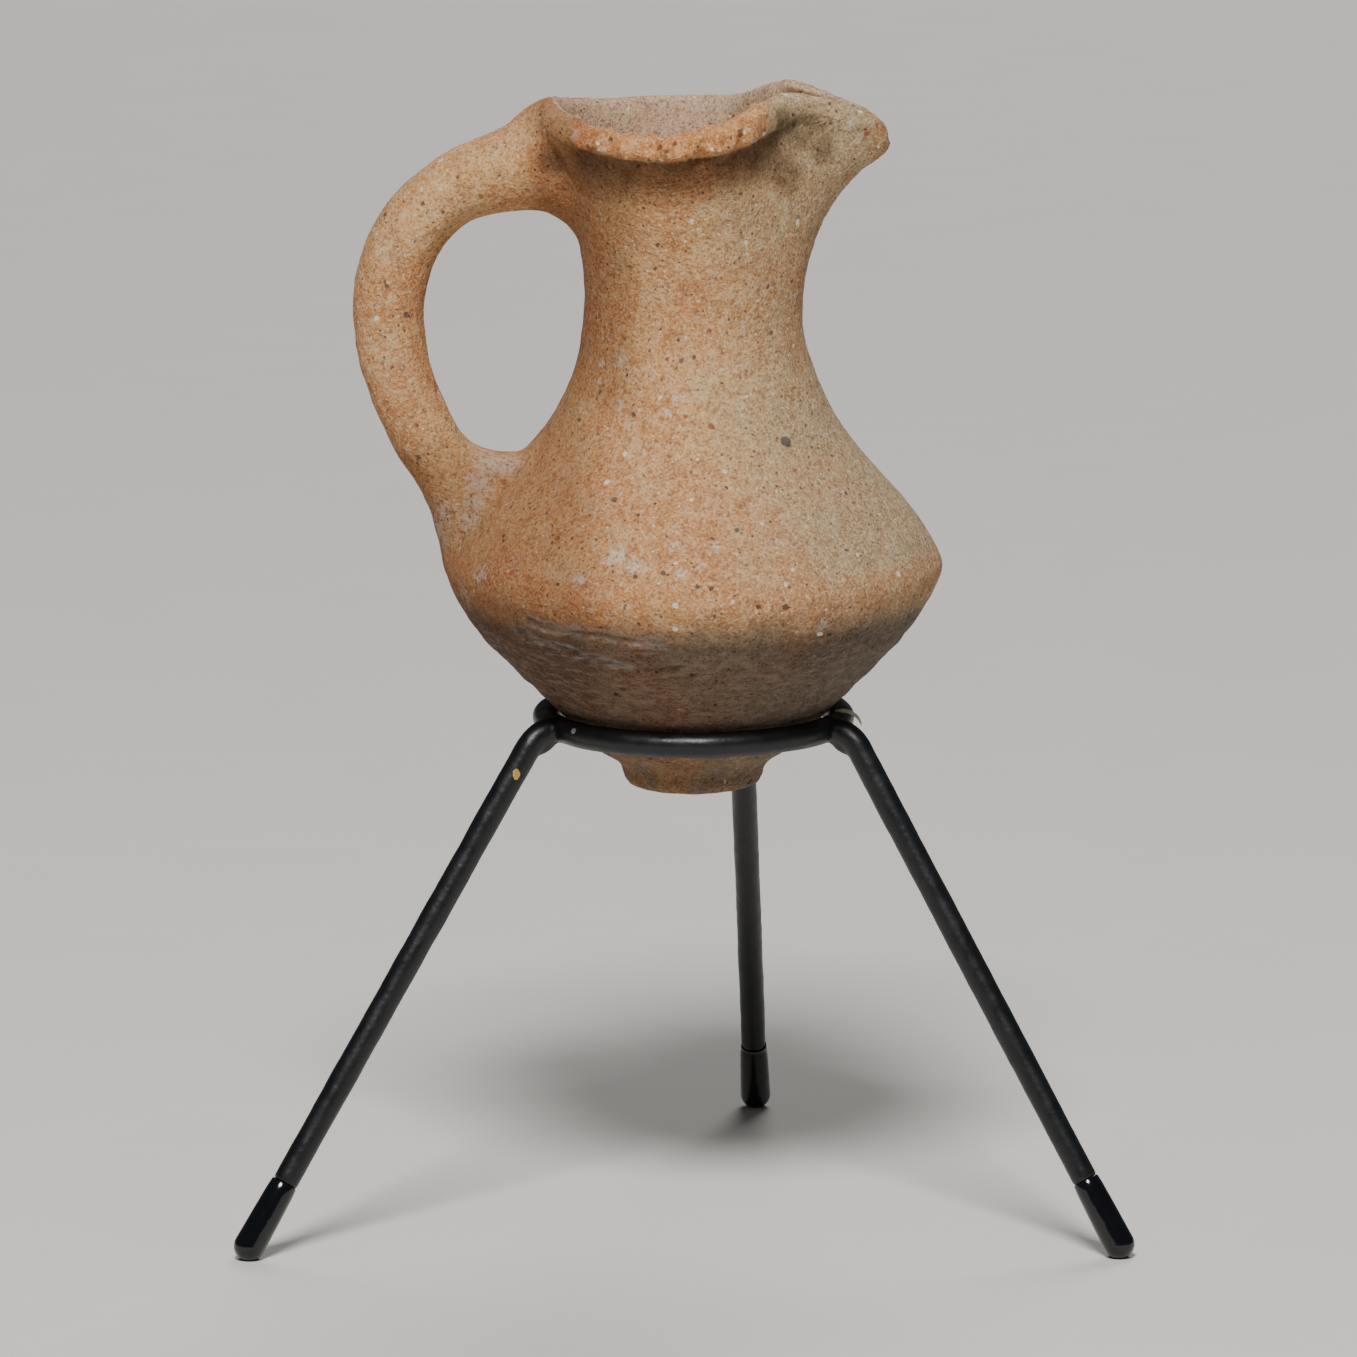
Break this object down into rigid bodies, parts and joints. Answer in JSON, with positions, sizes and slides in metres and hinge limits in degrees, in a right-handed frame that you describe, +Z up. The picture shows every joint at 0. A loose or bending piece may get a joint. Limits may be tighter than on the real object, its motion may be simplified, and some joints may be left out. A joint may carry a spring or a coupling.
{
  "type": "miniature pitcher on a wire tripod",
  "caption": "Small fired-clay pitcher with a pinched spout, a loop handle and a disc foot, hanging in the ring of a coated wire tripod.",
  "frame": {"origin": "centre of the footprint of pitcher and tripod together, on the surface that the three caps stand on", "axes": "+X towards the spout, -X towards the handle, +Z up, -Y towards the two front legs"},
  "size_m": [0.1128, 0.0924, 0.1446],
  "materials": {
    "fired_clay": "unglazed, hand-formed and wiped, worn, with grit, pale deposits and soil",
    "coated_wire": "black coating, soft satin, with small wear spots",
    "dipped_vinyl": "glossy black, dipped"
  },
  "bodies": {
    "root": {"pitcher": "fired_clay", "tripod_stand": "coated_wire", "foot_cap_left": "dipped_vinyl", "foot_cap_right": "dipped_vinyl", "foot_cap_back": "dipped_vinyl"}
  },
  "joints": []
}
